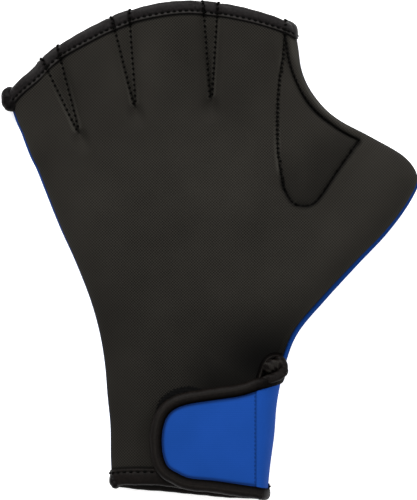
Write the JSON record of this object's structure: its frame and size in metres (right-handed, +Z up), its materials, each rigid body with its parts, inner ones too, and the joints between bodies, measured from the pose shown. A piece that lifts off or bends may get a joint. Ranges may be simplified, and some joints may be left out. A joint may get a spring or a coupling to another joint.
{
  "type": "webbed swim glove",
  "caption": "Fingerless webbed swim glove of sheet neoprene, black palm and blue back, with stitched finger webs, a closed thumb and a wrist strap.",
  "frame": {"origin": "on the ground under the middle of the whole glove", "axes": "+X towards the thumb, +Y towards the fingers, +Z up out of the palm"},
  "size_m": [0.1972, 0.2396, 0.0202],
  "materials": {
    "palm_cloth": "matte fine-knit nylon face on neoprene foam",
    "back_cloth": "smooth jersey face on neoprene foam",
    "binding_tape": "folded stretch tape with a slight sheen",
    "hook_tape": "hook side of a touch fastener"
  },
  "bodies": {
    "root": {"palm_panel": "palm_cloth", "thumb_gusset": "palm_cloth", "back_panel": "back_cloth", "wrist_strap": "back_cloth", "hook_patch": "hook_tape", "finger_binding_palm": "binding_tape", "finger_binding_back": "binding_tape", "cuff_binding_palm": "binding_tape", "cuff_binding_back": "binding_tape", "slit_binding": "binding_tape", "strap_binding": "binding_tape"}
  },
  "joints": []
}
